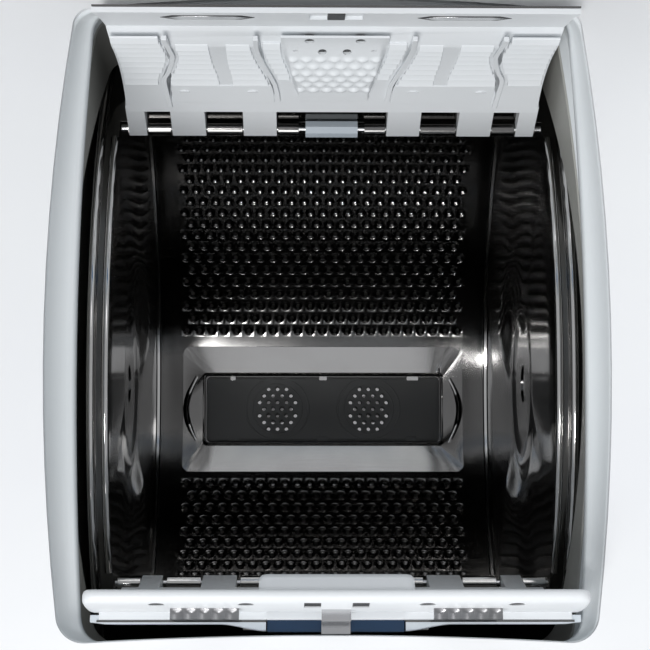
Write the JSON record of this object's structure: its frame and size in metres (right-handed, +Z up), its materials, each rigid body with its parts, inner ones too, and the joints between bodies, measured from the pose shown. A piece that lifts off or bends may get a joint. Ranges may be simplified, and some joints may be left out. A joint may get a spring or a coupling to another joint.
{
  "type": "washing machine",
  "caption": "Top-loading washing machine with a perforated drum across the cabinet, shown with its lid and both drum doors open.",
  "frame": {"origin": "on the floor, under the middle of the cabinet", "axes": "+X to the machine's right, +Y to its rear, +Z up"},
  "size_m": [0.4, 0.6, 1.3943],
  "materials": {
    "painted_steel": "smooth white enamel",
    "galvanised_steel": "dull zinc",
    "white_plastic": "satin white moulding",
    "deck_plastic": "satin white moulding with a warm cast",
    "liner_plastic": "satin pale grey moulding",
    "blue_plastic": "satin blue moulding",
    "tray_plastic": "satin pale blue-grey moulding",
    "dark_plastic": "fine matt black moulding",
    "lifter_plastic": "charcoal moulding",
    "grey_plastic": "matt grey moulding",
    "tub_plastic": "matt filled moulding",
    "display": "smoked window",
    "gasket_rubber": "smooth grey rubber",
    "black_rubber": "matt black rubber",
    "drum_steel": "polished stainless sheet",
    "bright_steel": "bright pins and shafts",
    "spring_steel": "oiled spring wire",
    "cast_aluminium": "raw casting",
    "cast_weight": "rough grey casting",
    "board_green": "circuit board"
  },
  "bodies": {
    "cabinet": {"base_frame": "dark_plastic", "rear_feet": "black_rubber", "front_panel": "painted_steel", "left_side_panel": "painted_steel", "right_side_panel": "painted_steel", "rear_panel": "galvanised_steel", "top_deck": "deck_plastic", "lid_lock": "dark_plastic", "mouth_gasket": "gasket_rubber", "inlet_valve": "grey_plastic", "mains_gland": "dark_plastic", "drain_pipe": "grey_plastic", "drain_pump": "grey_plastic", "control_console": "white_plastic", "lid_hinge_pins": "bright_steel", "control_fascia": "white_plastic", "display_window": "display", "control_board": "board_green", "damper_cylinders": "dark_plastic", "spring_brackets": "galvanised_steel", "suspension_springs": "spring_steel", "sump_hose": "black_rubber"},
    "left_foot": {"front_left_foot": "black_rubber"},
    "right_foot": {"front_right_foot": "black_rubber"},
    "lid": {"lid_shell": "white_plastic", "lid_liner": "white_plastic", "detergent_tray": "tray_plastic", "tray_cover": "blue_plastic"},
    "tub": {"tub_shell": "tub_plastic", "left_tub_end": "tub_plastic", "right_tub_end": "tub_plastic", "drum_bearings": "bright_steel", "counterweights": "cast_weight", "heater": "spring_steel", "motor_housing": "cast_aluminium", "motor_bracket": "galvanised_steel", "drive_belt": "black_rubber", "damper_rods": "bright_steel"},
    "drum": {"drum_shell": "drum_steel", "left_drum_end": "drum_steel", "right_drum_end": "drum_steel", "drum_shafts": "bright_steel", "lifter": "lifter_plastic", "drum_pulley": "cast_aluminium", "hinge_rods": "bright_steel", "door_spring_cover": "tray_plastic"},
    "rear_door": {"rear_door_skin": "drum_steel", "rear_door_liner": "liner_plastic"},
    "front_door": {"front_door_skin": "drum_steel", "front_door_liner": "liner_plastic", "catch_tongues": "bright_steel"},
    "latch": {"latch_button": "blue_plastic", "latch_hook": "drum_steel"},
    "motor": {"motor_rotor": "bright_steel"},
    "knob": {"programme_knob": "grey_plastic"},
    "start_key": {"start_button": "liner_plastic"},
    "left_option_key": {"option_button_left": "liner_plastic"},
    "right_option_key": {"option_button_right": "liner_plastic"},
    "filter_flap": {"filter_door": "white_plastic"},
    "filter": {"filter_cap": "dark_plastic"}
  },
  "joints": [
    {"name": "lid_hinge", "type": "hinge", "parent": "cabinet", "child": "lid", "pos_m": [0, 0.2, 0.893], "axis": [1, 0, 0], "range_deg": [0, 97]},
    {"name": "tub_suspension", "type": "slide", "parent": "cabinet", "child": "tub", "axis": [0, 0, 1], "range_m": [-0.008, 0.0015], "stiffness_N_per_m": 15000, "springref_m": 0.0235, "deforming": ["suspension_springs", "sump_hose", "mouth_gasket"]},
    {"name": "drum_turn", "type": "hinge", "parent": "tub", "child": "drum", "pos_m": [0, -0.015, 0.528], "axis": [1, 0, 0], "range_deg": [-0.3, 0.1]},
    {"name": "motor_turn", "type": "hinge", "parent": "tub", "child": "motor", "pos_m": [0, 0.10881, 0.18783], "axis": [1, 0, 0], "range_deg": [-4, 1.5]},
    {"name": "rear_door_hinge", "type": "hinge", "parent": "drum", "child": "rear_door", "pos_m": [0, 0.11753, 0.72448], "axis": [1, 0, 0], "range_deg": [0, 84.6], "stiffness_Nm_per_rad": 0.12, "springref_deg": -85.94},
    {"name": "front_door_hinge", "type": "hinge", "parent": "drum", "child": "front_door", "pos_m": [0, -0.14234, 0.72788], "axis": [1, 0, 0], "range_deg": [-78, 0], "stiffness_Nm_per_rad": 0.2, "springref_deg": 103.13},
    {"name": "latch_press", "type": "slide", "parent": "front_door", "child": "latch", "axis": [0, 0.9982, -0.0593], "range_m": [0, 0.0025], "stiffness_N_per_m": 900, "springref_m": -0.003},
    {"name": "knob_turn", "type": "hinge", "parent": "cabinet", "child": "knob", "pos_m": [0, 0.258, 0.908], "axis": [0, -0.2316, 0.9728], "continuous": true},
    {"name": "start_press", "type": "slide", "parent": "cabinet", "child": "start_key", "axis": [0, 0.2316, -0.9728], "range_m": [0, 0.0015], "stiffness_N_per_m": 600, "springref_m": -0.001},
    {"name": "left_option_press", "type": "slide", "parent": "cabinet", "child": "left_option_key", "axis": [0, 0.2316, -0.9728], "range_m": [0, 0.0015], "stiffness_N_per_m": 600, "springref_m": -0.001},
    {"name": "right_option_press", "type": "slide", "parent": "cabinet", "child": "right_option_key", "axis": [0, 0.2316, -0.9728], "range_m": [0, 0.0015], "stiffness_N_per_m": 600, "springref_m": -0.001},
    {"name": "filter_flap_hinge", "type": "hinge", "parent": "cabinet", "child": "filter_flap", "pos_m": [-0.125, -0.2962, 0.07], "axis": [1, 0, 0], "range_deg": [0, 85]},
    {"name": "filter_turn", "type": "hinge", "parent": "cabinet", "child": "filter", "pos_m": [-0.125, -0.292, 0.112], "axis": [0, -1, 0], "continuous": true},
    {"name": "left_foot_turn", "type": "hinge", "parent": "cabinet", "child": "left_foot", "pos_m": [-0.165, -0.26, 0], "axis": [0, 0, 1], "continuous": true},
    {"name": "right_foot_turn", "type": "hinge", "parent": "cabinet", "child": "right_foot", "pos_m": [0.165, -0.26, 0], "axis": [0, 0, 1], "continuous": true}
  ],
  "couplings": [
    {"joint": "motor_turn", "follows": "drum_turn", "ratio": 12.762}
  ]
}
